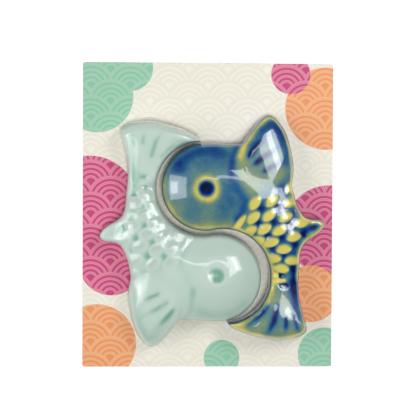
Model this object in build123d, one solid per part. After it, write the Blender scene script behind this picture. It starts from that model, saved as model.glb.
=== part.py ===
from math import cos, radians, sin
import os

from build123d import *

# Pack of two fish-shaped ceramic chopstick rests on a backing card. Millimetres.
# The card lies face up: +X to its right edge, +Y to its top edge, +Z out of the printed face.
# The origin is the middle of the card's back face.

# Backing card
card_width = 70.0
card_length = 85.0
card_thickness = 0.9

# One mould makes both rests. It is laid out round the middle of the bay, the hollow in its
# side that the other rest's head nests in. An angle runs from the head towards the tail, and
# a reach is a distance outward from the bay's edge.
head_radius = 12.2
nest_clearance = 0.8
head_bearing = -80.8
wall_height = 2.6

# Body sections: width outward from the bay, crest height and angle
head_height = 10.6
belly_width = 23.7
belly_height = 10.1
belly_angle = 15.0
shoulder_width = 18.5
shoulder_height = 9.2
shoulder_angle = 48.0
trunk_width = 14.0
trunk_height = 8.4
trunk_angle = 68.0
waist_width = 8.4
waist_height = 6.9
waist_angle = 97.0
tail_root_width = 8.7
tail_root_height = 6.1
tail_root_angle = 113.5

# Tail: rises and flares to a corner at the back, then narrows to a point that hooks round the bay
tail_corner_width = 15.2
tail_corner_height = 7.5
tail_corner_angle = 135.3
tail_arch_width = 10.2
tail_arch_height = 8.2
tail_arch_angle = 152.3
tail_hook_width = 4.5
tail_hook_height = 7.2
tail_hook_angle = 169.5
tail_tip_width = 0.9
tail_tip_height = 4.8
tail_tip_angle = 184.5

# Side fin behind the head
fin_front_angle = 19.3
fin_front_reach = 24.0
fin_front_bulge = 0.7
fin_back_angle = 48.3
fin_back_reach = 18.8
fin_back_bulge = 2.2
fin_tip_angle = 28.0
fin_tip_reach = 33.6
fin_tip_width = 2.2
fin_root_height = 8.2
fin_tip_height = 4.4
fin_sink = 3.0

# Small fin on the back
stub_front_angle = 65.0
stub_front_reach = 14.9
stub_front_bulge = 0.7
stub_back_angle = 77.0
stub_back_reach = 11.7
stub_back_bulge = 0.5
stub_tip_angle = 74.0
stub_tip_reach = 18.4
stub_tip_width = 1.6
stub_root_height = 6.2
stub_tip_height = 4.4
stub_sink = 3.0

# Eye: a dent inside a raised ring
eye_dent_radius = 2.0
eye_dent_depth = 0.8
eye_ring_radius = 2.8
eye_ring_thickness = 0.8
eye_ring_rise = 0.3

# Hollows under the foot, with a glue dot in each
foot_width = 2.4
hollow_depth = 0.7
tail_hollow_start_angle = 75.0
tail_hollow_end_angle = 122.0
head_dot_radius = 5.0
tail_dot_clearance = 0.3

# Where the rests lie on the card
pack_right = 0.5
pack_up = -4.9
cobalt_slip_right = 1.1
cobalt_slip_up = 0.5
cobalt_angle = 182.3

# Worked out from the sizes above
bay_radius = head_radius + nest_clearance
head_reach = bay_radius + head_radius
bay_x = -head_reach / 2 * cos(radians(head_bearing))
bay_y = -head_reach / 2 * sin(radians(head_bearing))
head_place = Pos(-bay_x, -bay_y, 0)
waist_middle = waist_width / 2
tail_dot_radius = waist_middle - foot_width - tail_dot_clearance


def at(angle, reach):
    """Point on the mould's base at an angle and a reach."""
    bearing = radians(head_bearing - angle)
    radius = bay_radius + reach
    return Vector(bay_x + radius * cos(bearing), bay_y + radius * sin(bearing), 0)


def half_arch(half_width, crest):
    """Half of an upright section: along the foot, up the wall and over the dome to the crest."""
    foot = Line((0, 0), (half_width, 0))
    wall = Line((half_width, 0), (half_width, wall_height))
    dome = EllipticalCenterArc((0, wall_height), half_width, crest - wall_height, arc_size=90)
    return [foot, wall, dome]


def arch_between(start, end, crest):
    """Upright domed section whose foot runs from one base point to another."""
    across = end - start
    half = half_arch(across.length / 2, crest)
    outline = half + [mirror(edge, Plane.YZ) for edge in half]
    upright = Plane(origin=(start + end) / 2, x_dir=across, z_dir=across.cross(Vector(0, 0, 1)))
    return upright * make_face(outline)


def body_section(angle, width, crest):
    """Domed section across the body, from the bay's edge outward."""
    return arch_between(at(angle, 0), at(angle, width), crest)


def make_head():
    """Front half of the head, a domed disc cut off square where the body begins."""
    half = half_arch(head_radius, head_height)
    profile = make_face(half + [Line((0, head_height), (0, 0))])
    return head_place * Rot(0, 0, head_bearing) * revolve(Plane.XZ * profile, Axis.Z, 180)


def make_body():
    """Body from the middle of the head to the tail's corner, and the tail from there to its tip."""
    corner = body_section(tail_corner_angle, tail_corner_width, tail_corner_height)
    body = loft([
        body_section(0, 2 * head_radius, head_height),
        body_section(belly_angle, belly_width, belly_height),
        body_section(shoulder_angle, shoulder_width, shoulder_height),
        body_section(trunk_angle, trunk_width, trunk_height),
        body_section(waist_angle, waist_width, waist_height),
        body_section(tail_root_angle, tail_root_width, tail_root_height),
        corner,
    ])
    tail = loft([
        corner,
        body_section(tail_arch_angle, tail_arch_width, tail_arch_height),
        body_section(tail_hook_angle, tail_hook_width, tail_hook_height),
        body_section(tail_tip_angle, tail_tip_width, tail_tip_height),
    ])
    return body + tail


def bulged(start, end, share, bulge):
    """Point at a share of the way along a line that bows to its left."""
    along = end - start
    left = Vector(0, 0, 1).cross(along).normalized()
    return start + along * share + left * (4 * bulge * share * (1 - share))


def make_fin(front, back, tip, tip_width, front_bulge, back_bulge, root_height, tip_height, sink):
    """Fin that stands out of the body, from a root sunk in it to a narrow tip."""
    tip_side = (back - front).normalized() * (tip_width / 2)
    outward = (tip - (front + back) / 2).normalized()
    sections = [arch_between(front - outward * sink, back - outward * sink, root_height)]
    for share in (0.0, 0.4, 0.75, 1.0):
        front_point = bulged(front, tip - tip_side, share, front_bulge)
        back_point = bulged(back, tip + tip_side, share, -back_bulge)
        crest = root_height + (tip_height - root_height) * share
        sections.append(arch_between(front_point, back_point, crest))
    return loft(sections)


def make_fins():
    """Side fin behind the head and the small fin on the back."""
    side = make_fin(
        at(fin_front_angle, fin_front_reach), at(fin_back_angle, fin_back_reach),
        at(fin_tip_angle, fin_tip_reach), fin_tip_width, fin_front_bulge, fin_back_bulge,
        fin_root_height, fin_tip_height, fin_sink)
    small = make_fin(
        at(stub_front_angle, stub_front_reach), at(stub_back_angle, stub_back_reach),
        at(stub_tip_angle, stub_tip_reach), stub_tip_width, stub_front_bulge, stub_back_bulge,
        stub_root_height, stub_tip_height, stub_sink)
    return side, small


def make_eye():
    """Ring to add to the top of the head, and the ball that presses the dent into it."""
    ring_z = head_height + eye_ring_rise - eye_ring_thickness / 2
    ring = Pos(0, 0, ring_z) * Torus(eye_ring_radius, eye_ring_thickness / 2)
    ball_radius = (eye_dent_radius ** 2 + eye_dent_depth ** 2) / (2 * eye_dent_depth)
    ball = Pos(0, 0, head_height - eye_dent_depth + ball_radius) * Sphere(ball_radius)
    return head_place * ring, head_place * ball


def make_hollows():
    """Shallow hollows that leave a foot round the underside of the head and of the waist."""
    inner = foot_width
    outer = waist_width - foot_width
    start = tail_hollow_start_angle
    end = tail_hollow_end_angle
    middle = (start + end) / 2
    band = make_face([
        ThreePointArc(at(start, inner), at(middle, inner), at(end, inner)),
        Line(at(end, inner), at(end, outer)),
        ThreePointArc(at(end, outer), at(middle, outer), at(start, outer)),
        Line(at(start, outer), at(start, inner)),
    ])
    disc = head_place * Circle(head_radius - foot_width)
    return [extrude(face, amount=hollow_depth, dir=(0, 0, 1)) for face in (band, disc)]


def make_rest():
    """One rest, its foot on the base plane."""
    ring, ball = make_eye()
    rest = make_head() + make_body()
    for piece in (*make_fins(), ring):
        rest = rest + piece
    for tool in (ball, *make_hollows()):
        rest = rest - tool
    return rest


def make_dots():
    """Glue dots that fill the hollows' depth, under the head and under the waist."""
    head_dot = head_place * extrude(Circle(head_dot_radius), amount=hollow_depth)
    waist_point = at(waist_angle, waist_middle)
    tail_dot = Pos(waist_point) * extrude(Circle(tail_dot_radius), amount=hollow_depth)
    return head_dot, tail_dot


def make_card():
    """Flat backing card, its back face on the base plane."""
    return extrude(Rectangle(card_width, card_length), amount=card_thickness)


rest = make_rest()
head_dot, tail_dot = make_dots()
celadon_place = Pos(pack_right, pack_up, card_thickness)
cobalt_place = (
    Pos(pack_right + cobalt_slip_right, pack_up + cobalt_slip_up, card_thickness)
    * Rot(0, 0, cobalt_angle)
)

parts = {"backing_card": make_card()}
for colour, place in (("celadon", celadon_place), ("cobalt", cobalt_place)):
    parts[colour + "_rest"] = place * rest
    parts[colour + "_head_glue_dot"] = place * head_dot
    parts[colour + "_tail_glue_dot"] = place * tail_dot

os.makedirs("parts", exist_ok=True)
for name, part in parts.items():
    export_step(part, "parts/" + name + ".step")
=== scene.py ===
import math
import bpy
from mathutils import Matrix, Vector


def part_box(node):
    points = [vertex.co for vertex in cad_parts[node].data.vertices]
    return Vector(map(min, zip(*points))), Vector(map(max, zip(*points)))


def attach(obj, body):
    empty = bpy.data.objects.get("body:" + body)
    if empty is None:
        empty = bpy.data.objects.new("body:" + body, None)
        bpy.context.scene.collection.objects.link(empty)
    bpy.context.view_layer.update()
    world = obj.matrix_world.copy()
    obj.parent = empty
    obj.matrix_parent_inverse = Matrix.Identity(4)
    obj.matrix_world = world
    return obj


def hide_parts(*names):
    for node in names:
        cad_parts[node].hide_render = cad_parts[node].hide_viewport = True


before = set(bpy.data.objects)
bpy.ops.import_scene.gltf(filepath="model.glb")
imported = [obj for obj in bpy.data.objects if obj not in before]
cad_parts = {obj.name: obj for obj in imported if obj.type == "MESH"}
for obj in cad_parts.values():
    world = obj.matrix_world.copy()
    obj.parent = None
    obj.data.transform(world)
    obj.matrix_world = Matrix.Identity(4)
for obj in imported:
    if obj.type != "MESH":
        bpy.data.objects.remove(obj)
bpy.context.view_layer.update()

from types import SimpleNamespace

import bmesh
import bpy
import numpy as np
from mathutils import Matrix, Vector

mm = 0.001
scene = bpy.context.scene
print("frame loaded:", sorted(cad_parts))


# numpy helpers

def paint(red, green, blue):
    # screen colour as linear light
    share = np.array([red, green, blue]) / 255.0
    linear = np.where(share <= 0.04045, share / 12.92, ((share + 0.055) / 1.055) ** 2.4)
    return (*linear.tolist(), 1.0)


def ramp(value, start, end):
    # 0 before start, 1 after end, an S between them
    share = np.clip((value - start) / (end - start), 0.0, 1.0)
    return share * share * (3.0 - 2.0 * share)


def step(value, place, edge):
    # 0 below a place, 1 above it, over twice the edge
    return ramp(value, place - edge, place + edge)


def bell(value, width):
    # 1 at zero, falling off on both sides
    return np.exp(-(value / width) ** 2)


def mix(pair, share):
    # from the first value of a pair to its second
    return pair[0] + (pair[1] - pair[0]) * share


def splineAt(knotX, knotY, x):
    # natural cubic through the knots: second slopes from the usual three-term equations
    knotX = np.asarray(knotX, float)
    knotY = np.asarray(knotY, float)
    gaps = np.diff(knotX)
    matrix = np.diag(np.concatenate([[1], 2 * (gaps[:-1] + gaps[1:]), [1]]))
    matrix = matrix + np.diag(np.append(gaps[:-1], 0), -1) + np.diag(np.append(0, gaps[1:]), 1)
    bend = np.linalg.solve(matrix, np.concatenate([[0], 6 * np.diff(np.diff(knotY) / gaps), [0]]))
    k = np.clip(np.searchsorted(knotX, x) - 1, 0, len(gaps) - 1)
    span = gaps[k]
    low = x - knotX[k]
    high = knotX[k + 1] - x
    cubic = (bend[k] * high ** 3 + bend[k + 1] * low ** 3) / (6 * span)
    fromLeft = (knotY[k] / span - bend[k] * span / 6) * high
    fromRight = (knotY[k + 1] / span - bend[k + 1] * span / 6) * low
    return cubic + fromLeft + fromRight


def curveThrough(points, spacing):
    # smooth plane curve through a few points, sampled evenly along its length
    points = np.asarray(points, float)
    length = np.concatenate([[0], np.cumsum(np.hypot(*np.diff(points, axis=0).T))])
    count = max(int(length[-1] / spacing), 2)
    along = np.linspace(0, length[-1], count + 1)
    return np.stack([splineAt(length, points[:, 0], along), splineAt(length, points[:, 1], along)], axis=1)


def lineDistance(x, y, points):
    # distance to a line of points, its sign (positive on the left), and the share of the way along
    points = np.asarray(points, float)
    best = np.full(x.shape, np.inf)
    side = np.ones(x.shape)
    share = np.zeros(x.shape)
    lengths = np.hypot(*np.diff(points, axis=0).T)
    total = lengths.sum()
    done = 0.0
    for (ax, ay), (bx, by), size in zip(points[:-1], points[1:], lengths):
        dx = bx - ax
        dy = by - ay
        part = np.clip(((x - ax) * dx + (y - ay) * dy) / (size * size), 0, 1)
        gap = np.hypot(x - ax - part * dx, y - ay - part * dy)
        nearer = gap < best
        best = np.where(nearer, gap, best)
        side = np.where(nearer, np.sign(dx * (y - ay) - dy * (x - ax)), side)
        share = np.where(nearer, (done + part * size) / total, share)
        done += size
    return best, side, share


def alongAxis(x, y, axis):
    # distance along a line from its first point, and the line's length
    (ax, ay), (bx, by) = axis
    size = math.hypot(bx - ax, by - ay)
    return ((x - ax) * (bx - ax) + (y - ay) * (by - ay)) / size, size


def softMax(a, b, blend):
    # larger of two heights, rounded where they cross
    share = np.clip(0.5 + (a - b) / (2 * blend), 0, 1)
    return b + (a - b) * share + blend * share * (1 - share)


def soften(values, passes):
    # each value averaged with its neighbours along the grid's columns and rows, several times over
    for _ in range(passes):
        values = np.concatenate([values[:1], (values[:-2] + 2 * values[1:-1] + values[2:]) / 4, values[-1:]])
        middle = (values[:, :-2] + 2 * values[:, 1:-1] + values[:, 2:]) / 4
        values = np.concatenate([values[:, :1], middle, values[:, -1:]], axis=1)
    return values


# the mould of both rests: millimetres and degrees, laid out round the middle of the bay
# a turn runs from the head towards the tail, a reach runs outward from the bay's edge

mould = {
    "headRadius": 12.2, "headBearing": -80.8,
    "nestGap": 0.8,  # between a head and the bay that it nests in
    "firstTurn": -60,  # ahead of the snout
    "wall": 2.6,  # upright wall under the dome
    # crest height along the body, and the width of the body without its fins
    "crestTurns": (-40, 0, 15, 48, 68, 97, 113.5, 135.3, 152.3, 169.5, 187),
    "crests": (10.6, 10.6, 10.33, 9.2, 9.0, 6.9, 6.1, 5.6, 5.5, 5.0, 4.2),
    "bodyTurns": (0, 8.4, 13.7, 20, 34, 48.3, 58.9, 66, 73, 80, 86),
    "bodyWidths": (24.4, 23.9, 23.7, 23.6, 21.8, 18.7, 15.35, 14.3, 12.7, 10.9, 9.4),
    "thinnest": 1e-6,  # least width, at the tips
    "dome": 0.41,  # fall from the crest to the rim, per half width
    "shoulder": 1.5, "shoulderShare": 0.3,  # rounding of the rim, at most this share of the width
    # trunk: straight slopes off a rounded crest that leans to the bay
    "roof": 1.75, "roofRound": 0.75, "trunkSpans": (("turn", 30, 44), ("turn", 104, 90)),
    "crestLean": 0.135, "leanSpans": (("turn", 0, 47), ("turn", 75, 52)),
    # sampling
    "columnStep": 0.3, "cornerPasses": 2, "rowsInner": 46, "rowsOuter": 80, "rowBend": 0.4,
}
headRadius = mould["headRadius"]
wallHeight = mould["wall"]
bayRadius = headRadius + mould["nestGap"]
headReach = bayRadius + headRadius
headBearing = math.radians(mould["headBearing"])
headMiddle = headReach / 2 * np.array([math.cos(headBearing), math.sin(headBearing)])
bayMiddle = -headMiddle

# outline from the belly to the tail's tip: turn and reach of each knot
outline = {
    "belly": ((0, 24.4), (8.4, 23.9), (13.7, 23.7), (19.3, 24.0)),
    "finFront": ((19.3, 24.0), (21.6, 27.4), (23.7, 30.3), (25.7, 32.6), (27.3, 33.65)),
    "finBack": ((28.9, 33.6), (33.9, 31.1), (39.5, 26.9), (44.4, 23.0), (48.3, 18.8)),
    "back": ((48.3, 18.8), (52.8, 16.9), (58.9, 15.35), (64.6, 14.95)),
    "smallFin": ((64.6, 14.95), (68.4, 16.35), (70.2, 17.8), (72.3, 18.6), (74.2, 18.7), (75.6, 18.05),
                 (77.2, 16.5), (78.2, 14.4), (79.0, 12.3), (80.2, 11.0)),
    "waist": ((80.2, 11.0), (83, 9.95), (93.8, 8.55), (103.4, 8.15), (111.5, 8.45), (118.8, 9.5),
              (124, 10.8), (129.4, 12.8), (133.4, 14.7), (135.2, 15.2)),
    "trailing": ((135.2, 15.2), (138.4, 14.75), (143.5, 13.25), (152.3, 10.3), (161.1, 7.0), (169.5, 4.55),
                 (177.5, 2.45), (184, 0.95), (186.2, 0.0)),
}


def fromBay(radius, bearing):
    # plan position at a distance from the bay's middle, along a bearing in radians
    return bayMiddle[0] + radius * np.cos(bearing), bayMiddle[1] + radius * np.sin(bearing)


def at(turn, reach):
    bearing = np.radians(mould["headBearing"] - np.asarray(turn, float))
    return np.stack(fromBay(bayRadius + np.asarray(reach, float), bearing), axis=-1)


def knotLine(knots):
    turn, reach = np.array(knots, float).T
    return at(turn, reach)


def outerEdge():
    # head arc from the snout, then the knotted curves, with every corner rounded by a short average
    snout = 90 + math.degrees(math.asin(headRadius / headReach))
    arcCount = int(math.radians(snout) * headRadius / mould["columnStep"])
    bearing = np.radians(mould["headBearing"] + np.linspace(snout, 0, arcCount))
    pieces = [headMiddle + headRadius * np.stack([np.cos(bearing), np.sin(bearing)], axis=1)]
    for knots in outline.values():
        pieces.append(curveThrough(knotLine(knots), mould["columnStep"])[1:])
    edge = np.concatenate(pieces)
    weights = np.array([1, 4, 6, 4, 1]) / 16.0
    for _ in range(mould["cornerPasses"]):
        middle = sum(weight * edge[k:len(edge) - 4 + k] for k, weight in enumerate(weights))
        edge = np.concatenate([edge[:2], middle, edge[-2:]])
    return edge


def easeIn(count):
    # shares from an edge to the middle: steps that grow up to a bend and stay even after it
    bend = mould["rowBend"]
    share = np.linspace(0, 1, count)
    eased = np.where(share < bend, share ** 2 / (2 * bend), share - bend / 2)
    return eased / eased[-1]


def layOut():
    # columns across the body from the snout to the tail's tip, each from an inner to an outer radius
    edge = outerEdge()
    offset = edge - bayMiddle
    turn = mould["headBearing"] - np.degrees(np.arctan2(offset[:, 1], offset[:, 0]))
    turn = np.maximum.accumulate(np.where(turn < mould["firstTurn"], turn + 360, turn))
    outer = np.hypot(*offset.T)
    swing = np.minimum(np.abs(np.sin(np.radians(turn))) * headReach, headRadius)
    near = headReach * np.cos(np.radians(turn)) - np.sqrt(headRadius ** 2 - swing ** 2)
    inner = np.where(turn < 0, near, bayRadius)
    inner[[0, -1]] = outer[[0, -1]]
    inner = np.minimum(inner, outer)
    full = outer - inner
    lastTurn = mould["bodyTurns"][-1]
    slim = splineAt(mould["bodyTurns"], mould["bodyWidths"], np.clip(turn, 0, lastTurn))
    body = np.where((turn > 0) & (turn < lastTurn), np.minimum(full, slim), full)
    bearing = np.radians(mould["headBearing"] - turn)
    return SimpleNamespace(edge=edge, turn=turn, bearing=bearing, inner=inner, outer=outer, full=full,
                           body=body)


def topPlan(columns):
    # rows of the top in plan: closely spaced at both edges, with the distances that form and carving use
    half = columns.body / 2
    innerRows = columns.inner + half * easeIn(mould["rowsInner"])[:, None]
    outerShare = 1 - easeIn(mould["rowsOuter"])[::-1][1:, None]
    outerRows = columns.inner + half + (columns.full - half) * outerShare
    radius = np.concatenate([innerRows, outerRows])
    plan = SimpleNamespace(reach=radius - columns.inner, innerGap=radius - bayRadius)
    plan.x, plan.y = fromBay(radius, columns.bearing)
    plan.turn = np.broadcast_to(columns.turn, radius.shape)
    plan.width = np.where(columns.turn < 0, 2 * headRadius, np.maximum(columns.body, mould["thinnest"]))
    dx = plan.x - headMiddle[0]
    dy = plan.y - headMiddle[1]
    plan.headShare = np.hypot(dx, dy) / headRadius
    plan.headGap = np.maximum(headRadius - np.hypot(dx, dy), 0)
    fromOuter = np.degrees(np.arctan2(dy, dx)) - mould["headBearing"]
    plan.fromOuter = np.abs((fromOuter + 180) % 360 - 180)  # degrees round the head from its outer side
    plan.outGap, _, _ = lineDistance(plan.x, plan.y, columns.edge)
    plan.edgeGap = np.minimum(plan.outGap, np.where(plan.turn < 0, plan.headGap, np.maximum(plan.reach, 0)))
    plan.frontSide, plan.frontShare, plan.outward = finLines(plan.x, plan.y)
    plan.outerSide = step(plan.innerGap - plan.outGap, 0, 1)  # nearer to the outline than to the bay
    plan.inFin = within(plan, *sideFin["leaf"])
    plan.onHead = within(plan, head["span"])
    plan.inTail = within(plan, tail["glazeSpan"])
    return plan


print("mould laid out, bay at", bayMiddle.round(2))


# carving: relief is added to the smooth form; glaze depth runs from about -1, thin on ridges, to about 1,
# pooled in hollows; a span names a measure of the plan, with its start and end

grooveForm = {"start": (-0.05, 0.2), "end": (1.05, 0.5), "endDepth": 0.3}


def within(plan, *spans):
    # product of a ramp for each span
    share = 1.0
    for measure, start, end in spans:
        share = share * ramp(getattr(plan, measure), start, end)
    return share


def spot(plan, middle, size):
    # bell in both directions round a middle
    return bell(plan.x - middle[0], size[0]) * bell(plan.y - middle[1], size[1])


def trench(plan, points, width):
    # round-bottomed groove along a line, deep soon after its start and shallow at its end
    gap, _, share = lineDistance(plan.x, plan.y, points)
    depth = mix((grooveForm["endDepth"], 1.0), ramp(share, *grooveForm["end"]))
    return bell(gap, width) * ramp(share, *grooveForm["start"]) * depth


def press(plan, mark, depth, pool):
    # a mark in the clay with glaze gathered in it
    plan.relief -= depth * mark
    plan.pool += pool * mark


def lay(plan, share, depth):
    # glaze of one depth over a share of the surface
    plan.pool = plan.pool * (1 - share) + depth * share


def standOut(plan, body, sheet, fin):
    # a fin's sheet over the body, inside the fin's spans
    return body + within(plan, *fin["spans"]) * (softMax(body, sheet, fin["blend"]) - body)


# side fin behind the head: millimetres in the mould's plan

sideFin = {
    # front edge from the tip to the gill, and the root
    "front": ((-16.3, -32.0), (-12.4, -29.2), (-8.6, -24.2), (-6.6, -20.5), (-5.7, -17.0), (-5.4, -13.0)),
    "root": ((-8.5, -24.0), (-22.1, -12.3)),
    # height, slopes, bends and twist of its sheet at a middle, and where it blends with the body
    "middle": (-16.4, -23.3), "level": 7.24, "slope": (0.294, 0.16), "bend": (0.036, 0.014), "twist": -0.007,
    "spans": (("turn", 6, 14), ("turn", 50, 38)), "blend": 0.6,
    # falls close to the back edge and towards the front edge
    "edge": 0.06, "edgeWidth": 3.0, "drop": 2.45, "dropSpan": ("frontSide", 4.1, -2.9),
    # glaze of the leaf and its tip, and a band inside the back edge: glaze depth, gap, half width
    "leaf": (("frontSide", -0.2, 1.2), ("outward", -7.5, -2.0), ("turn", 58, 46)), "thin": 0.2,
    "tip": 0.38, "tipSpan": ("outward", 3.5, 10.0),
    "back": (0.42, 2.2, 1.4), "backSpan": ("outward", -3, 1),
    # spots of glaze: depth, middle, radius
    "spots": ((0.8, (-18.7, -11.4), 1.5), (-0.5, (-20.0, -16.0), 1.8), (-0.15, (-11.0, -16.8), 3.2)),
    # crease ahead of the front edge: depth, glaze depth, place, half width
    "crease": (0.04, 0.65, -0.7, 0.9), "creaseEnd": ("frontShare", 0.85, 0.7),
    "creaseSpans": (("frontShare", 0.33, 0.5), ("frontShare", 1.0, 0.85)),
    # pale ridge behind the front edge: place and half width, each near the tip and near the gill
    "ridgePlace": (0.6, 0.8), "ridgeWidth": (0.95, 1.4), "ridgeChange": ("frontShare", 0.45, 0.7),
    "ridgeEnd": ("frontShare", 0.82, 0.55), "ridgeCover": 0.8, "ridgeThin": 0.72,
    # grooves: depth, half width, glaze depth, line
    "grooves": ((0.02, 0.8, 1.3, ((-9.4, -19.8), (-12.4, -23.2), (-15.8, -26.6))),
                (0.03, 0.7, 1.55, ((-11.0, -18.0), (-14.4, -20.4), (-18.4, -22.6))),
                (0.03, 0.62, 1.55, ((-13.4, -16.0), (-16.0, -17.2), (-19.3, -18.8)))),
}


def finLines(x, y):
    # distance behind the front edge, share along it from the tip, distance out from the root
    gap, side, share = lineDistance(x, y, sideFin["front"])
    (ax, ay), (bx, by) = sideFin["root"]
    outward = ((y - ay) * (bx - ax) - (x - ax) * (by - ay)) / math.hypot(bx - ax, by - ay)
    return gap * side, share, outward


def sideFinHeight(plan, body):
    # level + slopes + twist - bends about a middle, lowered at both edges
    dx = plan.x - sideFin["middle"][0]
    dy = plan.y - sideFin["middle"][1]
    sheet = sideFin["level"] + sideFin["slope"][0] * dx + sideFin["slope"][1] * dy
    sheet = sheet - sideFin["bend"][0] / 2 * dx ** 2 - sideFin["bend"][1] / 2 * dy ** 2
    sheet = sheet + sideFin["twist"] * dx * dy
    backGap, _, _ = lineDistance(plan.x, plan.y, knotLine(outline["finBack"]))
    sheet = sheet - sideFin["edge"] * np.maximum(sideFin["edgeWidth"] - backGap, 0) ** 2
    sheet = sheet - sideFin["drop"] * within(plan, sideFin["dropSpan"])
    return standOut(plan, body, sheet, sideFin)


def carveSideFin(plan):
    pool, gap, width = sideFin["back"]
    back = pool * bell(plan.outGap - gap, width) * within(plan, sideFin["backSpan"])
    plan.pool += plan.inFin * (sideFin["tip"] * within(plan, sideFin["tipSpan"]) + back - sideFin["thin"])
    for pool, middle, radius in sideFin["spots"]:
        plan.pool += pool * spot(plan, middle, (radius, radius))
    depth, pool, place, width = sideFin["crease"]
    crease = bell(plan.frontSide - place, width) * within(plan, *sideFin["creaseSpans"])
    press(plan, crease, depth * within(plan, sideFin["creaseEnd"]), pool)
    for depth, width, pool, points in sideFin["grooves"]:
        press(plan, trench(plan, points, width), depth, pool)
    change = within(plan, sideFin["ridgeChange"])
    ridge = bell(plan.frontSide - mix(sideFin["ridgePlace"], change), mix(sideFin["ridgeWidth"], change))
    ridge = ridge * within(plan, sideFin["ridgeEnd"])
    plan.pool = plan.pool * (1 - sideFin["ridgeCover"] * ridge) - sideFin["ridgeThin"] * ridge


# small fin on the back

smallFin = {
    # crest at the root and at the tip, and its fall behind the root, inside the body
    "axis": ((-23.5, 0.3), (-30.8, -0.9)), "crest": (6.2, 5.2), "sink": 4.0, "sinkSpan": (0, -5),
    "spans": (("turn", 58, 63), ("turn", 86, 81)), "blend": 0.9,
    # flat-bottomed pit, and a crease at the root: half width, depth, glaze depth
    "pit": (-28.0, -0.2), "pitSize": (1.6, 1.2), "pitDepth": 0.04, "pitFlat": 1.5,
    "creaseLine": ((-23.2, 0.9), (-25.9, 2.9)), "crease": (0.5, 0.3, 1.2),
}


def smallFinHeight(plan, body):
    # crest that falls evenly from root to tip
    along, size = alongAxis(plan.x, plan.y, smallFin["axis"])
    sheet = mix(smallFin["crest"], np.clip(along / size, 0, 1))
    return standOut(plan, body, sheet - smallFin["sink"] * ramp(along, *smallFin["sinkSpan"]), smallFin)


def carveSmallFin(plan, pitPool):
    dx = (plan.x - smallFin["pit"][0]) / smallFin["pitSize"][0]
    dy = (plan.y - smallFin["pit"][1]) / smallFin["pitSize"][1]
    press(plan, np.exp(-(dx ** 2 + dy ** 2) ** smallFin["pitFlat"]), smallFin["pitDepth"] * pitPool, pitPool)
    width, depth, pool = smallFin["crease"]
    press(plan, trench(plan, smallFin["creaseLine"], width), depth, pool)


# tail

tail = {
    # flatter than the body, with its crest moved to the bay and its back tilted down
    "spans": (("turn", 98, 112), ("turn", 165, 140)), "flat": 0.74, "tilt": 0.17,
    "lean": 0.09, "leanSpan": ("turn", 98, 116),
    # rise along an axis to the trailing edge, and the fall close to that edge
    "axis": ((-31.5, 17.0), (-27.0, 32.0)), "lift": 3.85, "liftEnd": 1.1, "liftPower": 1.2,
    "fall": 0.25, "fallWidth": 3.1,
    # thin glaze all over, and a deep band along the outer side of the waist: glaze depth, gap, half width
    "glazeSpan": ("turn", 108, 122), "thin": 0.24,
    "band": (0.55, 2.3, 1.0), "bandSpans": (("turn", 98, 106), ("turn", 134, 124)),
    # grooves that fan out: depth, half width, glaze depth, line; each has a wider wash of glaze
    "grooves": ((0.05, 0.65, 2.1, ((-14.3, 20.0), (-11.6, 23.1), (-8.1, 25.7))),
                (0.06, 0.65, 0.9, ((-16.8, 20.0), (-15.3, 25.2), (-13.3, 28.5))),
                (0.06, 0.5, 0.75, ((-18.9, 24.0), (-18.4, 28.2))),
                (0.06, 0.55, 0.75, ((-21.0, 23.5), (-22.2, 28.6)))),
    "wash": 0.35, "washWidth": 2.2,
}


def tailHeight(plan, body):
    # body + rise along the axis - fall close to the trailing edge
    along, size = alongAxis(plan.x, plan.y, tail["axis"])
    gap, _, _ = lineDistance(plan.x, plan.y, knotLine(outline["trailing"]))
    lift = tail["lift"] * np.clip(along / size, 0, tail["liftEnd"]) ** tail["liftPower"]
    lift = lift - tail["fall"] * np.maximum(tail["fallWidth"] - gap, 0) ** 2
    return body + lift * within(plan, tail["spans"][0])


def carveTail(plan):
    plain = 1 - plan.scaleCover
    plan.pool -= tail["thin"] * plan.inTail * plain
    pool, gap, width = tail["band"]
    plan.pool += pool * bell(plan.outGap - gap, width) * within(plan, *tail["bandSpans"])
    for depth, width, pool, points in tail["grooves"]:
        groove = trench(plan, points, width)
        wash = trench(plan, points, tail["washWidth"] * width)
        plan.relief -= depth * groove
        plan.pool += (pool * groove + tail["wash"] * wash) * plain


# smooth form of the whole fish

def bodyHeight(plan):
    # crest - dome x square of the share across: a roof on the trunk, flatter and tilted on the tail
    crest = splineAt(mould["crestTurns"], mould["crests"], plan.turn)
    lean = mould["crestLean"] * within(plan, *mould["leanSpans"])
    lean = lean + tail["lean"] * within(plan, tail["leanSpan"])
    bodyShare = 2 * plan.reach / plan.width - 1
    bodyShare = bodyShare + lean * np.maximum(1 - bodyShare ** 2, 0)
    share = np.where(plan.turn < 0, plan.headShare, bodyShare)
    onTail = within(plan, *tail["spans"])
    roof = mould["roof"] * (np.sqrt(share ** 2 + mould["roofRound"] ** 2) - mould["roofRound"])
    arch = mix((share ** 2, roof), within(plan, *mould["trunkSpans"]))
    body = crest - mould["dome"] * (1 - tail["flat"] * onTail) * plan.width / 2 * arch
    return body - tail["tilt"] * (plan.reach - plan.width / 2) * onTail


def formHeight(plan):
    # body, tail and fins above the wall, brought down to it by a rounded shoulder at the rim
    height = sideFinHeight(plan, tailHeight(plan, bodyHeight(plan)))
    height = smallFinHeight(plan, height)
    shoulder = np.minimum(mould["shoulder"], mould["shoulderShare"] * plan.width)
    lip = np.clip(plan.edgeGap / shoulder, 0, 1)
    return wallHeight + (height - wallHeight) * np.cbrt(1 - (1 - lip) ** 3)


# head and gill

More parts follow.
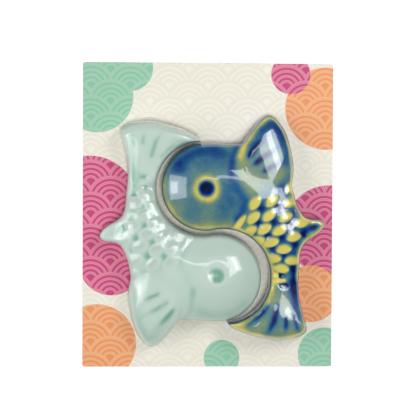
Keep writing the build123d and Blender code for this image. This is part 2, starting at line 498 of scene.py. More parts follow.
head = {
    "even": 0.05,  # glaze depth before anything is carved
    "span": ("turn", 26, 16),
    # deep glaze along the outer side and thin glaze round the nose: glaze depth, gap, half width
    "deep": (0.5, 2.0, 2.0), "deepSpan": ("fromOuter", 62, 34),
    "thin": (-0.42, 0.0, 2.4), "thinSpan": ("fromOuter", 60, 110),
    # clouds: glaze depth, middle, size
    "clouds": ((0.45, (9.4, -18.0), (2.4, 2.4)), (0.3, (-4.6, -6.8), (3.6, 4.0))),
}

gill = {
    "line": ((-4.9, -18.2), (-5.3, -14.5), (-7.1, -11.1), (-8.6, -8.2), (-7.7, -4.9), (-5.6, -2.0)),
    "width": 1.2, "rise": (0, 0.15), "fall": (1.02, 0.9), "depth": 0.03, "depthRise": (0.3, 0.5),
    "pool": (0.2, 0.55),  # glaze depth at the start and at the end of the line
    "pale": (0.3, (-10.4, -11.0), (2.2, 2.2)),  # thin spot behind it: thinness, middle, size
}


def glazeHead(plan, cloudShare):
    noseGap = np.minimum(plan.headGap, np.maximum(plan.innerGap, 0))
    for measure, kind in ((plan.headGap, "deep"), (noseGap, "thin")):
        pool, gap, width = head[kind]
        plan.pool += pool * bell(measure - gap, width) * within(plan, head[kind + "Span"]) * plan.onHead
    for pool, middle, size in head["clouds"]:
        plan.pool += cloudShare * pool * spot(plan, middle, size)


def carveGill(plan):
    gap, _, share = lineDistance(plan.x, plan.y, gill["line"])
    crease = bell(gap, gill["width"]) * ramp(share, *gill["rise"]) * ramp(share, *gill["fall"])
    press(plan, crease, gill["depth"] * ramp(share, *gill["depthRise"]), mix(gill["pool"], share))
    thinness, middle, size = gill["pale"]
    plan.pool -= thinness * spot(plan, middle, size)


# scales on the trunk, and the marks of the waist behind them

scales = {
    # staggered lattice in turn and reach, drawn together where the body narrows
    "start": (35.7, 8.8), "step": (9.4, 2.85), "drop": (4.4, -3.7), "slip": (0.7, -0.6),
    "places": ((0, 0), (1, 0), (2, 0), (2, -1), (-1, 1), (0, 1), (1, 1), (2, 1), (3, 1), (0, 2), (1, 2),
               (2, 2), (3, 2), (1, 3), (2, 3), (3, 3), (4, 3), (3, 4), (4, 4)),
    "narrowTurn": 70.0, "narrowStep": 0.2, "narrowReach": 0.014,
    # one scale: half sizes, lean, and a dome that peaks behind its middle, steeper tailward than headward
    "size": (2.25, 1.45), "lean": 14.0, "rise": 0.3, "domeSize": 1.15, "domePower": 1.5,
    "peak": 0.3, "peakSlope": (1.5, 0.75),
    # edge of its pale glaze, sharper tailward, and thinness from head to tail
    "coverTail": (1.14, 0.82), "coverHead": (1.32, 0.55), "tone": (0.66, 0.94), "toneSpan": (-0.7, 0.4),
    "gillBar": (-1, 1), "gillBarSize": (2.7, 0.95),  # one place is a narrow bar without a pit
    "pitBehind": (5.9, -0.6), "pitSize": (1.1, 0.9), "pitDepth": 0.16, "pitPool": 0.7,
    # deep glaze between the scales
    "field": 0.42,
    "fieldSpans": (("turn", 30, 42), ("turn", 104, 97), ("frontSide", -2, 1), ("outward", 0.5, -2.5)),
}

waist = {
    # raised pale bar, and a pale column along the bay
    "tone": 0.85, "bar": (107.3, 3.1), "barSize": (2.3, 0.7), "barEdge": (1.25, 0.6), "barRise": 0.3,
    "columnSpans": (("turn", 95, 98), ("turn", 109.5, 107.5)), "columnReach": 1.5, "columnEdge": (1.1, 0.5),
    # flat-bottomed pits: turn, reach, half sizes
    "pits": ((102.4, 3.3, (1.0, 0.7)), (111.0, 4.6, (1.3, 1.0))), "pitDepth": 0.4, "pitPool": 1.0,
    # long stripe: half width, depth, glaze depth
    "stripe": (0.85, 0.1, 1.2),
    "stripeKnots": ((82, 7.8), (92, 7.0), (100, 6.8), (111, 7.0), (118, 7.9), (124.4, 9.3), (131, 11.4)),
}


def scaleMiddle(i, j):
    turn, reach = (scales["start"][k] + i * scales["step"][k] + j * scales["drop"][k] for k in (0, 1))
    past = max(turn - scales["narrowTurn"], 0.0)
    return turn + scales["narrowStep"] * past, reach * (1 - scales["narrowReach"] * past)


def ovalShare(plan, turn, reach, size, lean):
    # offset from a middle, in shares of an oval's leaning long axis and of its tailward short axis
    middle = at(turn, reach) + np.array(scales["slip"])
    bearing = math.radians(mould["headBearing"] - turn - lean)
    dx = plan.x - middle[0]
    dy = plan.y - middle[1]
    across = (dx * math.cos(bearing) + dy * math.sin(bearing)) / size[0]
    tailward = (dx * math.sin(bearing) - dy * math.cos(bearing)) / size[1]
    return across, tailward


def addScale(plan, i, j):
    # oval cover of pale glaze, a dome inside it, and a round pit behind it
    turn, reach = scaleMiddle(i, j)
    isBar = (i, j) == scales["gillBar"]
    size = scales["gillBarSize" if isBar else "size"]
    across, tailward = ovalShare(plan, turn, reach, size, scales["lean"])
    radius = np.hypot(across, tailward)
    cover = np.where(tailward > 0, ramp(radius, *scales["coverTail"]), ramp(radius, *scales["coverHead"]))
    tone = mix(scales["tone"], ramp(tailward, *scales["toneSpan"]))
    plan.scaleTone = np.where(cover > plan.scaleCover, tone, plan.scaleTone)
    plan.scaleCover = np.maximum(plan.scaleCover, cover)
    offPeak = tailward - scales["peak"]
    skewed = np.hypot(across, np.where(offPeak > 0, *scales["peakSlope"]) * offPeak) / scales["domeSize"]
    plan.relief += scales["rise"] * np.maximum(1 - skewed ** 2, 0) ** scales["domePower"]
    if not isBar:
        behind, outward = scales["pitBehind"]
        pit = ovalShare(plan, turn + behind, reach + outward, scales["pitSize"], scales["lean"])
        press(plan, bell(np.hypot(*pit), 1.0), scales["pitDepth"], scales["pitPool"])


def addWaist(plan):
    bar = ramp(np.hypot(*ovalShare(plan, *waist["bar"], waist["barSize"], 0)), *waist["barEdge"])
    plan.relief += waist["barRise"] * bar
    column = ramp(np.abs(plan.innerGap - waist["columnReach"]), *waist["columnEdge"])
    column = column * within(plan, *waist["columnSpans"])
    plan.scaleCover = np.maximum(plan.scaleCover, np.maximum(bar, column))
    for turn, reach, size in waist["pits"]:
        across, tailward = ovalShare(plan, turn, reach, size, 0)
        press(plan, bell(across ** 2 + tailward ** 2, 1.0), waist["pitDepth"], waist["pitPool"])
    width, depth, pool = waist["stripe"]
    press(plan, trench(plan, knotLine(waist["stripeKnots"]), width), depth, pool)


def carveScales(plan):
    plan.pool += scales["field"] * within(plan, *scales["fieldSpans"]) * (1 - plan.inFin)
    plan.scaleCover = np.zeros(plan.x.shape)
    plan.scaleTone = np.full(plan.x.shape, waist["tone"])
    for i, j in scales["places"]:
        addScale(plan, i, j)
    addWaist(plan)
    lay(plan, plan.scaleCover, -plan.scaleTone)


# eye and rims

eyeForm = {"lipRadius": 2.9, "lipWidth": 0.9, "moundWidth": 3.55, "leanWidth": 2.8,
           "ring": (4.85, 2.85), "ringPool": -0.66, "pupilPool": 1.1}  # glaze of the ring and the pupil

rims = {
    "reliefSpan": ("edgeGap", 0.0, 1.2),  # carving fades out at the rim
    # half width of the thin glaze, and what the back, side fin, small fin and tail add to it
    "start": 0.6, "startSpan": ("edgeGap", 0.1, 0.5), "width": 0.75,
    "back": 0.25, "backSpan": ("turn", 44, 54), "sideFin": -0.4, "smallFin": 0.45, "smallFinSize": (3.2, 3.2),
    "tail": (0.25, 0.4),  # on the bay side and on the outer side
    # strength on the head and behind it, and what the head's outer side, the waist and the tail lose
    "strength": (0.45, 1.0), "strengthSpan": ("turn", 16, 30),
    "headLoss": 0.6, "headSpan": ("fromOuter", 90, 50), "tailLoss": 0.2,
    "waistLoss": 0.75, "waistSpans": (("turn", 100, 108), ("turn", 134, 128)),
    "cover": 0.9, "thin": 0.68,
    # dark line on the side fin's front edge, and deeper glaze where the wall begins
    "finSpans": (("frontSide", 2.0, 1.0), ("outward", -3.0, 0.5), ("outward", 12.5, 9.5)),
    "finPool": 0.8, "finLine": 0.5,
    "below": ("edgeGap", 0.45, 0.1), "belowPool": 0.7,
}


def carveEye(plan, eye):
    # low ring and mound, and a bowl whose floor leans; thin glaze on the ring, deep glaze in the pupil
    dy = plan.y - eye["middle"][1]
    radius = np.hypot(plan.x - eye["middle"][0], dy)
    plan.relief += eye["lip"] * bell(radius - eyeForm["lipRadius"], eyeForm["lipWidth"])
    plan.relief += eye["mound"] * bell(radius, eyeForm["moundWidth"])
    bowl = bell(radius, eye["width"]) + eye["lean"] * dy * bell(radius, eyeForm["leanWidth"])
    plan.relief -= eye["depth"] * bowl
    lay(plan, ramp(radius, *eyeForm["ring"]), eyeForm["ringPool"])
    lay(plan, step(-radius, -eye["pupil"], eye["pupilEdge"] / 2), eyeForm["pupilPool"])


def glazeRims(plan):
    # thin glaze on the shoulder of the outline, a thicker line below it
    width = rims["width"] + rims["back"] * within(plan, rims["backSpan"]) + rims["sideFin"] * plan.inFin
    width = width + rims["smallFin"] * spot(plan, smallFin["pit"], rims["smallFinSize"])
    width = width + plan.inTail * mix(rims["tail"], plan.outerSide)
    finFront = within(plan, *rims["finSpans"])
    strength = mix(rims["strength"], within(plan, rims["strengthSpan"])) * (1 - finFront)
    strength = strength * (1 - rims["headLoss"] * plan.onHead * within(plan, rims["headSpan"]))
    strength = strength * (1 - rims["waistLoss"] * plan.outerSide * within(plan, *rims["waistSpans"]))
    strength = strength * (1 - rims["tailLoss"] * plan.inTail)
    rim = bell(np.maximum(plan.edgeGap - rims["start"], 0), width) * within(plan, rims["startSpan"])
    rim = rim * strength
    plan.pool = plan.pool * (1 - rims["cover"] * rim) - rims["thin"] * rim
    plan.pool += rims["finPool"] * finFront * bell(plan.edgeGap, rims["finLine"])
    lay(plan, within(plan, rims["below"]), rims["belowPool"])


# the two rests: place on the card, then what differs between them; a thick glaze softens the carving

placing = {
    "celadon": {"right": 0.5, "up": -4.9, "turn": 0.0,
                "relief": 0.7, "softening": 5, "clouds": 0.0, "pitPool": 0.3,
                "eye": {"middle": (1.55, -11.31), "pupil": 2.4, "pupilEdge": 1.8, "width": 2.8, "depth": 1.84,
                        "lean": 0.21, "lip": 0.32, "mound": 0.79}},
    "cobalt": {"right": 1.6, "up": -4.4, "turn": 182.3,
               "relief": 0.75, "softening": 1, "clouds": 1.0, "pitPool": 1.6,
               "eye": {"middle": (2.0, -12.1), "pupil": 2.05, "pupilEdge": 1.3, "width": 1.9, "depth": 0.45,
                       "lean": 0.16, "lip": 0.14, "mound": 0.0}},
}

foot = {
    "rows": 28, "wallRows": 6,
    "round": 0.35, "roundRise": 0.5, "thinEnd": 2.0,  # rounding under the wall, less on thin stretches
    "width": 2.4, "hollow": 0.7, "hollowEdge": 0.15,
    "waistWidth": 8.4, "waistTurns": (75.0, 122.0), "waistEdge": 0.1, "waistTurnEdge": 0.5,
    "pool": 0.3, "wallPool": 0.4,  # glaze depth, and what the wall adds to it at its top
    "bare": (0.5, 0.2),  # unglazed clay ends between these heights
}


def hollowShare(x, y, turn, reach):
    # 1 inside the round hollow under the head and the curved one under the waist
    radius = np.hypot(x - headMiddle[0], y - headMiddle[1])
    headHollow = step(-radius, foot["width"] - headRadius, foot["hollowEdge"])
    start, end = foot["waistTurns"]
    waistHollow = step(turn, start, foot["waistTurnEdge"]) * step(-turn, -end, foot["waistTurnEdge"])
    waistHollow = waistHollow * step(reach, foot["width"], foot["waistEdge"])
    waistHollow = waistHollow * step(-reach, foot["width"] - foot["waistWidth"], foot["waistEdge"])
    return np.maximum(headHollow, waistHollow)


def underSurface(columns):
    # outer wall down, sole across with its hollows, inner wall up; glaze depth and bare clay with them
    down = np.linspace(1, 0, foot["wallRows"] + 1)[1:, None]
    climb = np.minimum(down * wallHeight / foot["roundRise"], 1)
    inset = foot["round"] * (1 - np.sqrt(np.clip(1 - (1 - climb) ** 2, 0, 1)))
    inset = inset * np.clip(columns.full / foot["thinEnd"], 0, 1)
    wallDown = columns.outer - inset
    wallUp = (columns.inner + inset)[::-1][1:]
    across = np.linspace(0, 1, foot["rows"])[1:, None]
    sole = wallDown[-1] + (columns.inner + inset[-1] - wallDown[-1]) * across
    radius = np.concatenate([wallDown, sole, wallUp])
    x, y = fromBay(radius, columns.bearing)
    row = np.arange(len(radius))[:, None]
    onSole = (row >= foot["wallRows"] - 1) & (row < foot["wallRows"] + foot["rows"] - 1)
    hollow = np.where(onSole, hollowShare(x, y, columns.turn, radius - bayRadius), 0)
    level = np.concatenate([down, np.zeros((foot["rows"] - 1, 1)), down[::-1][1:]]) * wallHeight
    z = level + foot["hollow"] * hollow
    pool = foot["pool"] + np.where(onSole, 0, foot["wallPool"] * z / wallHeight)
    bare = np.where(onSole, 1 - hollow, ramp(z, *foot["bare"]))
    return np.stack([x, y, z], axis=2), pool, bare


def topSurface(plan, form, place):
    # smooth form + softened carving, level with the wall along every edge
    plan.relief = np.zeros(plan.x.shape)
    plan.pool = np.full(plan.x.shape, head["even"])
    glazeHead(plan, place["clouds"])
    carveSideFin(plan)
    carveGill(plan)
    carveScales(plan)
    carveTail(plan)
    carveSmallFin(plan, place["pitPool"])
    carveEye(plan, place["eye"])
    glazeRims(plan)
    relief = soften(plan.relief * within(plan, rims["reliefSpan"]), place["softening"])
    height = np.maximum(form + relief * place["relief"], wallHeight)
    height[[0, -1]] = wallHeight
    height[:, [0, -1]] = wallHeight
    return np.stack([plan.x, plan.y, height], axis=2), soften(plan.pool, place["softening"])


def gridFaces(rows, columns, loopRows):
    # quads of a grid whose rows, or else its columns, close into a loop
    row, column = np.meshgrid(np.arange(rows - (not loopRows)), np.arange(columns - loopRows), indexing="ij")
    nextRow = (row + 1) % rows * columns
    nextColumn = (column + 1) % columns
    row = row * columns
    quads = np.stack([row + column, nextRow + column, nextRow + nextColumn, row + nextColumn], axis=-1)
    return quads.reshape(-1, 4)


weldGap = 1e-7  # metres
sliverSize = 1e-8


def meshFrom(name, grid, loopRows, values=(), flatAbove=2.0):
    # closed mesh from a grid in millimetres, smooth but for faces more level than flatAbove
    points = grid.reshape(-1, 3) * mm
    quads = gridFaces(*grid.shape[:2], loopRows)
    mesh = bpy.data.meshes.new(name)
    mesh.from_pydata(points.tolist(), [], quads.tolist())
    for label, data in values:
        layer = mesh.attributes.new(label, "FLOAT", "POINT")
        layer.data.foreach_set("value", data.astype(np.float32).ravel())
    mesh.validate()
    work = bmesh.new()
    work.from_mesh(mesh)
    bmesh.ops.remove_doubles(work, verts=work.verts, dist=weldGap)
    bmesh.ops.dissolve_degenerate(work, edges=work.edges, dist=sliverSize)
    bmesh.ops.recalc_face_normals(work, faces=work.faces)
    work.to_mesh(mesh)
    work.free()
    normals = np.empty(3 * len(mesh.polygons), dtype=np.float32)
    mesh.polygons.foreach_get("normal", normals)
    mesh.polygons.foreach_set("use_smooth", np.abs(normals[2::3]) < flatAbove)
    piece = bpy.data.objects.new(name, mesh)
    scene.collection.objects.link(piece)
    return piece


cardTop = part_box("backing_card")[1].z / mm
bodyColumns = layOut()
bodyPlan = topPlan(bodyColumns)
smoothForm = formHeight(bodyPlan)
lowGrid, lowPool, lowBare = underSurface(bodyColumns)
rests = {}
for colour, place in placing.items():
    topGrid, topPool = topSurface(bodyPlan, smoothForm, place)
    spin = np.array(Matrix.Rotation(math.radians(place["turn"]), 3, "Z"))
    fishGrid = np.concatenate([topGrid, lowGrid]) @ spin.T + np.array([place["right"], place["up"], cardTop])
    fishPool = np.concatenate([topPool, lowPool])
    fishBare = np.concatenate([np.zeros(topPool.shape), lowBare])
    rest = meshFrom(colour + "Fish", fishGrid, True, (("glazePool", fishPool), ("bareClay", fishBare)))
    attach(rest, colour)
    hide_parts(colour + "_rest")
    rests[colour] = rest
    print(colour, "rest:", len(rest.data.polygons), "faces")


# shader helpers

def feed(tree, socket, value):
    # a plain value is set on the socket, an output is linked to it
    if isinstance(value, (int, float, tuple)):
        socket.default_value = value
    else:
        tree.links.new(value, socket)


def wire(tree, node, inputs):
    for label, value in inputs.items():
        feed(tree, node.inputs[label], value)


def addNode(tree, kind, inputs, **settings):
    # outputs of a new node
    node = tree.nodes.new("ShaderNode" + kind)
    for label, value in settings.items():
        setattr(node, label, value)
    wire(tree, node, inputs)
    return node.outputs


def newGroup(name, inputs, outputs):
    # every socket is a value but for the coordinates
    group = bpy.data.node_groups.new(name, "ShaderNodeTree")
    for way, labels in (("INPUT", inputs), ("OUTPUT", outputs)):
        for label in labels:
            kind = "NodeSocketVector" if label == "Coordinates" else "NodeSocketFloat"
            group.interface.new_socket(label, in_out=way, socket_type=kind)
    return group, group.nodes.new("NodeGroupInput").outputs, group.nodes.new("NodeGroupOutput")


def newMaterial(name):
    material = bpy.data.materials.new(name)
    material.use_nodes = True
    return material, material.node_tree, material.node_tree.nodes["Principled BSDF"]


def calc(tree, operation, *values):
    return addNode(tree, "Math", dict(enumerate(values)), operation=operation)[0]


def band(tree, value, low, high):
    # smooth step of a value from 0 at low to 1 at high
    inputs = {"Value": value, "From Min": low, "From Max": high}
    return addNode(tree, "MapRange", inputs, interpolation_type="SMOOTHSTEP")["Result"]


def mixColour(tree, share, first, second):
    return addNode(tree, "Mix", {0: share, 6: first, 7: second}, data_type="RGBA")[2]  # colour sockets


def noise(tree, coordinates, size, detail):
    # cloud value, size in millimetres
    inputs = {"Vector": coordinates, "Scale": 1 / (size * mm), "Detail": detail}
    return addNode(tree, "TexNoise", inputs)["Fac"]


def planGap(tree, place, middleX, middleY):
    # distance in plan from a middle
    offX = calc(tree, "SUBTRACT", place["X"], middleX)
    offY = calc(tree, "SUBTRACT", place["Y"], middleY)
    square = calc(tree, "MULTIPLY_ADD", offX, offX, calc(tree, "MULTIPLY", offY, offY))
    return calc(tree, "SQRT", square)


# glazes: colour by depth, from thin on ridges to pooled in hollows

glazeDepths = (-1.1, 1.3)

glazes = {
    "celadon": {
        "depths": ((-1.1, (184, 201, 193)), (-0.55, (196, 215, 205)), (-0.25, (198, 218, 208)),
                   (0.25, (191, 213, 202)), (0.6, (172, 201, 187)), (0.95, (137, 182, 162)),
                   (1.3, (108, 164, 139))),
        "drift": 0.2, "speckle": 0.15, "clay": (226, 220, 206), "index": 1.49,
    },
    "cobalt": {
        "depths": ((-1.1, (228, 215, 113)), (-0.7, (212, 202, 103)), (-0.35, (140, 156, 112)),
                   (0.0, (86, 131, 137)), (0.35, (38, 96, 143)), (0.75, (9, 49, 122)),
                   (1.1, (1, 12, 58)), (1.3, (1, 15, 72))),
        "drift": 0.9, "speckle": 0.25, "clay": (222, 212, 196), "index": 1.6,
    },
}

glazeFinish = {
    "roughness": 0.3, "clayRoughness": 0.5, "specular": 0.3, "coatRoughness": 0.03,
    "cloudSize": 6.5, "grainSize": 0.8, "waveSize": 5.0, "waveDepth": 0.08,  # millimetres
    "flowDetail": 2.0, "waveDetail": 1.0,
}


def glazeGroup():
    # glaze depth broken up by cloudy drift and fine speckle, as a share of its range, and a slight waviness
    group, into, out = newGroup("glazeFlow", ("Coordinates", "Pool", "Drift", "Speckle"), ("Depth", "Wave"))
    depth = into["Pool"]
    for size, amount in (("cloudSize", "Drift"), ("grainSize", "Speckle")):
        cloud = noise(group, into["Coordinates"], glazeFinish[size], glazeFinish["flowDetail"])
        depth = calc(group, "MULTIPLY_ADD", calc(group, "SUBTRACT", cloud, 0.5), into[amount], depth)
    thin, deep = glazeDepths
    share = addNode(group, "MapRange", {"Value": depth, "From Min": thin, "From Max": deep})["Result"]
    wave = noise(group, into["Coordinates"], glazeFinish["waveSize"], glazeFinish["waveDetail"])
    wire(group, out, {"Depth": share, "Wave": wave})
    return group


flowGroup = glazeGroup()


def glazeMaterial(name, values):
    material, tree, shader = newMaterial(name)
    pool = addNode(tree, "Attribute", {}, attribute_name="glazePool")["Fac"]
    bare = addNode(tree, "Attribute", {}, attribute_name="bareClay")["Fac"]
    inputs = {"Coordinates": addNode(tree, "TexCoord", {})["Object"], "Pool": pool,
              "Drift": values["drift"], "Speckle": values["speckle"]}
    flow = addNode(tree, "Group", inputs, node_tree=flowGroup)
    colours = tree.nodes.new("ShaderNodeValToRGB")
    stops = colours.color_ramp.elements
    while len(stops) < len(values["depths"]):
        stops.new(0.5)
    thin, deep = glazeDepths
    for stop, (depth, colour) in zip(stops, values["depths"]):
        stop.position = (depth - thin) / (deep - thin)
        stop.color = paint(*colour)
    wire(tree, colours, {"Fac": flow["Depth"]})
    waves = {"Strength": 1.0, "Distance": glazeFinish["waveDepth"] * mm, "Height": flow["Wave"]}
    wire(tree, shader, {
        "Base Color": mixColour(tree, bare, colours.outputs["Color"], paint(*values["clay"])),
        "Roughness": calc(tree, "MULTIPLY_ADD", bare, glazeFinish["clayRoughness"], glazeFinish["roughness"]),
        "Coat Weight": calc(tree, "SUBTRACT", 1.0, bare),
        "Coat Roughness": glazeFinish["coatRoughness"],
        "Coat IOR": values["index"],
        "IOR": values["index"],
        "Specular IOR Level": glazeFinish["specular"],
        "Normal": addNode(tree, "Bump", waves)["Normal"],
    })
    return material


for colour, values in glazes.items():
    rests[colour].data.materials.append(glazeMaterial(colour + "Glaze", values))
print("glazes mixed")


# backing card: a thin slab with softened edges, printed on its front

card = {
    "width": 70.0, "length": 85.0, "thickness": 0.9, "roughness": 0.5, "flatAbove": 0.999,
    "corner": 0.5, "cornerPoints": 7, "edge": 0.12, "edgePoints": 5,
    "printEdge": (0.06, 0.03),  # the print ends between these depths below the face
    # waves: radius of a disc in millimetres; rows, columns and rings in shares of it
    "waveRadius": 6.55, "waveRow": 0.684, "waveColumn": 0.833, "waveRing": 0.2137, "ringCount": 4,
    # shares of a ring: middles of its thick band and of the stretch with its thin lines, and half of each
    "bandMiddle": 0.75, "lineMiddle": 0.25, "bandHalf": 0.25,
    # softness of its edges, where its thin lines begin, and the edge of the disc's middle
    "ringEdge": 0.02, "ringLine": (0.11, 0.17), "ringCore": (1.02, 0.94),
    "ground": (238, 234, 219), "groundBand": (241, 239, 228), "groundLine": (233, 223, 206),
    "board": (226, 222, 212),
    # disc patches: middle x, middle y, radius, ink
    "patches": ((-31.0, 33.0, 10.0, "green"), (-22.0, 41.0, 6.5, "green"), (33.0, 30.0, 11.5, "orange"),
                (23.0, 39.5, 5.5, "pink"), (-33.0, 3.0, 13.5, "pink"), (-27.0, -13.5, 9.0, "pink"),
                (34.0, -4.0, 12.5, "pink"), (29.0, -22.0, 8.0, "orange"), (-31.0, -36.0, 11.0, "orange"),
                (4.0, -40.0, 5.0, "green"), (33.0, -39.0, 7.5, "green")),
    "patchEdge": 0.08,
    # inks: bands and lines, and how far the ground between them goes from the one to the other
    "inkGround": 2 / 3,
    "inks": {"pink": ((204, 70, 128), (226, 152, 166)), "orange": ((238, 152, 96), (240, 186, 146)),
             "green": ((136, 201, 171), (176, 207, 183))},
}


def cardSurface():
    # rounded rectangle carried over a section: back middle, back edge, rounded rim, front edge, front middle
    quarter = np.linspace(0, math.pi / 2, card["cornerPoints"])
    angle = np.concatenate([quarter + k * math.pi / 2 for k in range(4)])
    alongX = np.repeat([1, -1, -1, 1], card["cornerPoints"]) * (card["width"] / 2 - card["corner"])
    alongY = np.repeat([1, 1, -1, -1], card["cornerPoints"]) * (card["length"] / 2 - card["corner"])
    bend = np.linspace(0, math.pi / 2, card["edgePoints"])
    rising = card["edge"] * (1 - np.sin(bend))
    turning = card["edge"] * (1 - np.cos(bend))
    radius = (card["corner"] - np.concatenate([rising, turning]))[:, None]
    level = np.concatenate([turning, card["thickness"] - rising])[:, None]
    x = alongX + radius * np.cos(angle)
    y = alongY + radius * np.sin(angle)
    ring = np.stack([x, y, np.broadcast_to(level, x.shape)], axis=2)
    toAxis = np.array([0, 0, 1])
    return np.concatenate([ring[:1] * toAxis, ring, ring[-1:] * toAxis])


def waveGroup():
    # distance to the frontmost of overlapping discs, lower rows in front, cut into rings:
    # thick bands, and the thin lines between them
    group, into, out = newGroup("ringedWaves", ("Coordinates",), ("Band", "Line"))
    inputs = {0: into["Coordinates"], "Scale": 1 / (card["waveRadius"] * mm)}
    shrunk = addNode(group, "VectorMath", inputs, operation="SCALE")["Vector"]
    place = addNode(group, "SeparateXYZ", {0: shrunk})
    aboveDisc = calc(group, "SUBTRACT", place["Y"], 1.0)
    firstRow = calc(group, "CEIL", calc(group, "DIVIDE", aboveDisc, card["waveRow"]))
    columnPlace = calc(group, "DIVIDE", place["X"], card["waveColumn"])
    distance = None
    for behind in (2.0, 1.0, 0.0):
        row = calc(group, "ADD", firstRow, behind)
        odd = calc(group, "FLOORED_MODULO", row, 2.0)
        nearest = calc(group, "ROUND", calc(group, "DIVIDE", calc(group, "SUBTRACT", columnPlace, odd), 2.0))
        column = calc(group, "MULTIPLY_ADD", nearest, 2.0, odd)
        gap = planGap(group, place, calc(group, "MULTIPLY", column, card["waveColumn"]),
                      calc(group, "MULTIPLY", row, card["waveRow"]))
        if distance is None:
            distance = gap
        else:
            inside = calc(group, "LESS_THAN", gap, 1.0)
            kept = calc(group, "MULTIPLY", distance, calc(group, "SUBTRACT", 1.0, inside))
            distance = calc(group, "MULTIPLY_ADD", gap, inside, kept)
    rings = calc(group, "DIVIDE", distance, card["waveRing"])
    ring = calc(group, "FRACT", rings)
    edges = (card["bandHalf"] + card["ringEdge"], card["bandHalf"] - card["ringEdge"])
    fromBand = calc(group, "ABSOLUTE", calc(group, "SUBTRACT", ring, card["bandMiddle"]))
    fromLine = calc(group, "ABSOLUTE", calc(group, "SUBTRACT", ring, card["lineMiddle"]))
    ringed = band(group, rings, card["ringCount"] + card["ringEdge"], card["ringCount"] - card["ringEdge"])
    wide = calc(group, "MULTIPLY", band(group, fromBand, *edges), ringed)
    wide = calc(group, "MAXIMUM", wide, band(group, rings, *card["ringCore"]))
    line = calc(group, "MULTIPLY", band(group, fromLine, *card["ringLine"]), band(group, fromLine, *edges))
    line = calc(group, "MULTIPLY", line, calc(group, "SUBTRACT", 1.0, wide))
    wire(group, out, {"Band": wide, "Line": line})
    return group


def cardMaterial():
    material, tree, shader = newMaterial("printedCard")
    coordinates = addNode(tree, "TexCoord", {})["Object"]
    place = addNode(tree, "SeparateXYZ", {0: coordinates})
    waves = addNode(tree, "Group", {"Coordinates": coordinates}, node_tree=waveGroup())
    colour = mixColour(tree, waves["Band"], paint(*card["ground"]), paint(*card["groundBand"]))
    colour = mixColour(tree, waves["Line"], colour, paint(*card["groundLine"]))
    inked = {}
    for name, (strong, pale) in card["inks"].items():
        mixed = (mix(pair, card["inkGround"]) for pair in zip(strong, pale))
        ink = mixColour(tree, waves["Band"], paint(*mixed), paint(*strong))
        inked[name] = mixColour(tree, waves["Line"], ink, paint(*pale))
    for middleX, middleY, radius, name in card["patches"]:
        gap = planGap(tree, place, middleX * mm, middleY * mm)
        patch = band(tree, gap, (radius + card["patchEdge"]) * mm, (radius - card["patchEdge"]) * mm)
        colour = mixColour(tree, patch, colour, inked[name])
    printed = band(tree, place["Z"], *((card["thickness"] - depth) * mm for depth in card["printEdge"]))
    colour = mixColour(tree, printed, paint(*card["board"]), colour)
    wire(tree, shader, {"Base Color": colour, "Roughness": card["roughness"]})
    return material


cardSheet = meshFrom("cardSheet", cardSurface(), False, flatAbove=card["flatAbove"])
cardSheet.data.materials.append(cardMaterial())
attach(cardSheet, "card")
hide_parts("backing_card")
print("card printed with", len(card["patches"]), "patches")


# glue dots: squashed drops between the card and each hollow

glue = {"colour": (232, 231, 222), "roughness": 0.35, "bulge": 0.25, "columns": 48, "rows": 13}


def glueSurface(low, high):
    # rounded rim turned about the dot's middle
    middle = (low + high) / 2
    bend = np.linspace(-math.pi / 2, math.pi / 2, glue["rows"])
    rim = (high[0] - low[0]) / 2 - glue["bulge"] * (1 - np.cos(bend))
    reach = np.concatenate([[0], rim, [0]])[:, None]
    level = middle[2] + (high[2] - low[2]) / 2 * np.sin(bend)
    level = np.concatenate([[low[2]], level, [high[2]]])[:, None]
    angle = np.linspace(0, 2 * math.pi, glue["columns"], endpoint=False)
    x = middle[0] + reach * np.cos(angle)
    y = middle[1] + reach * np.sin(angle)
    return np.stack([x, y, np.broadcast_to(level, x.shape)], axis=2)


glueMaterial, glueTree, glueShader = newMaterial("clearGlue")
wire(glueTree, glueShader, {"Base Color": paint(*glue["colour"]), "Roughness": glue["roughness"]})
for colour in placing:
    for end in ("head", "tail"):
        node = colour + "_" + end + "_glue_dot"
        low, high = (np.array(corner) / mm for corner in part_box(node))
        dot = meshFrom(colour + end.title() + "Glue", glueSurface(low, high), False)
        dot.data.materials.append(glueMaterial)
        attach(dot, "card")
        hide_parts(node)
print("glue dots placed")


# studio: metres and degrees

studio = {
    "target": (0.00003, 0.002, 0.0), "distance": 0.4, "leanX": -2.68, "leanY": 1.66, "roll": -0.29,
    "lens": 123.4, "sensor": 36.0, "clipStart": 0.01, "lampTarget": (0, 0, 0.005), "world": 0.02,
}

# softboxes: level unless aimed; those with shine are seen in the glaze only, the fill is not seen in it
softboxes = {
    "left": {"place": (-0.2785, 0.0, 0.212), "size": (0.25, 0.184), "glow": 3.4, "aimed": True},
    "right": {"place": (0.2148, 0.1483, 0.27), "size": (0.207, 0.202), "glow": 5.0, "turn": 20.0},
    "leftCore": {"place": (-0.3008, 0.0, 0.1787), "size": (0.12, 0.07), "glow": 4.5, "aimed": True,
                 "shine": True},
    "core": {"place": (0.222, 0.15, 0.269), "size": (0.06, 0.17), "glow": 6.0, "turn": 20.0, "shine": True},
    "strip": {"place": (0.043, 0.119, 0.27), "size": (0.15, 0.033), "glow": 4.0, "shine": True},
    "fill": {"place": (0.025, -0.12, 0.7), "size": (0.2, 0.2), "glow": 21.0, "fill": True},
}


def aimed(place, target, up):
    forward = (Vector(target) - Vector(place)).normalized()
    right = forward.cross(Vector(up)).normalized()
    turned = Matrix((right, right.cross(forward), -forward)).transposed().to_4x4()
    turned.translation = Vector(place)
    return turned


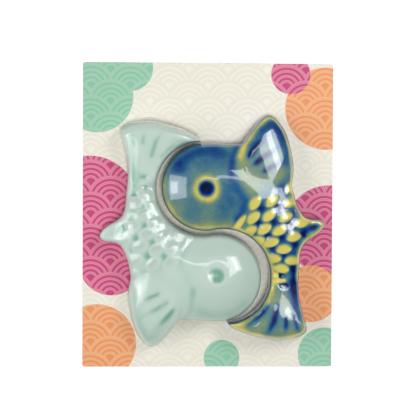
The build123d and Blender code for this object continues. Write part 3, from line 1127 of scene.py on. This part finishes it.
def addCamera():
    leanX = math.sin(math.radians(studio["leanX"]))
    leanY = math.sin(math.radians(studio["leanY"]))
    toCamera = Vector((leanX, leanY, math.sqrt(1 - leanX ** 2 - leanY ** 2)))
    roll = math.radians(studio["roll"])
    camera = bpy.data.objects.new("camera", bpy.data.cameras.new("camera"))
    scene.collection.objects.link(camera)
    camera.data.lens = studio["lens"]
    camera.data.sensor_width = studio["sensor"]
    camera.data.sensor_fit = "HORIZONTAL"
    camera.data.clip_start = studio["clipStart"]
    camera.matrix_world = aimed(Vector(studio["target"]) + toCamera * studio["distance"], studio["target"],
                                (math.sin(roll), math.cos(roll), 0))
    scene.camera = camera


def addSoftbox(name, values):
    # panel of even brightness
    width, height = values["size"]
    lamp = bpy.data.lights.new(name + "Softbox", "AREA")
    lamp.shape = "RECTANGLE"
    lamp.size = width
    lamp.size_y = height
    lamp.energy = values["glow"] * math.pi * width * height
    holder = bpy.data.objects.new(name + "Softbox", lamp)
    scene.collection.objects.link(holder)
    holder.location = values["place"]
    holder.rotation_euler.z = math.radians(values.get("turn", 0.0))
    if "aimed" in values:
        holder.matrix_world = aimed(values["place"], studio["lampTarget"], (0, 0, 1))
    holder.visible_camera = False
    holder.visible_diffuse = "shine" not in values
    holder.visible_glossy = "fill" not in values


addCamera()
for name, values in softboxes.items():
    addSoftbox(name, values)

world = bpy.data.worlds.new("studioWorld")
scene.world = world
world.use_nodes = True
sight = addNode(world.node_tree, "LightPath", {})["Is Camera Ray"]
worldGlow = calc(world.node_tree, "MAXIMUM", sight, studio["world"])  # white to the eye, dim as light
wire(world.node_tree, world.node_tree.nodes["Background"], {"Color": (1, 1, 1, 1), "Strength": worldGlow})
scene.view_settings.view_transform = "Standard"
print("studio lit by", len(softboxes), "softboxes")


# floor: white paint that keeps the shadow close by and, without lighting the pieces, glows further off

floorPlan = {"half": 2.0, "level": -0.0002, "colour": (252, 252, 252), "roughness": 0.9,
             "nearGlow": 0.3, "farGlow": 1.0, "glowSpan": (0.1, 0.4)}


def floorMaterial():
    material, tree, shader = newMaterial("floorPaint")
    rays = addNode(tree, "LightPath", {})
    seen = calc(tree, "MAXIMUM", rays["Is Camera Ray"], rays["Is Glossy Ray"])
    seen = calc(tree, "MAXIMUM", seen, rays["Is Transmission Ray"])
    place = addNode(tree, "TexCoord", {})["Object"]
    distance = addNode(tree, "VectorMath", {0: place}, operation="LENGTH")["Value"]
    near = floorPlan["nearGlow"]
    far = band(tree, distance, *floorPlan["glowSpan"])
    glow = calc(tree, "MULTIPLY", seen, calc(tree, "MULTIPLY_ADD", far, floorPlan["farGlow"] - near, near))
    wire(tree, shader, {"Base Color": paint(*floorPlan["colour"]), "Roughness": floorPlan["roughness"],
                        "Emission Color": (1, 1, 1, 1), "Emission Strength": glow})
    return material


half = floorPlan["half"]
corners = [(x * half, y * half, floorPlan["level"]) for x, y in ((-1, -1), (1, -1), (1, 1), (-1, 1))]
floorMesh = bpy.data.meshes.new("floor")
floorMesh.from_pydata(corners, [], [(0, 1, 2, 3)])
floorMesh.materials.append(floorMaterial())
floor = bpy.data.objects.new("floor", floorMesh)
scene.collection.objects.link(floor)
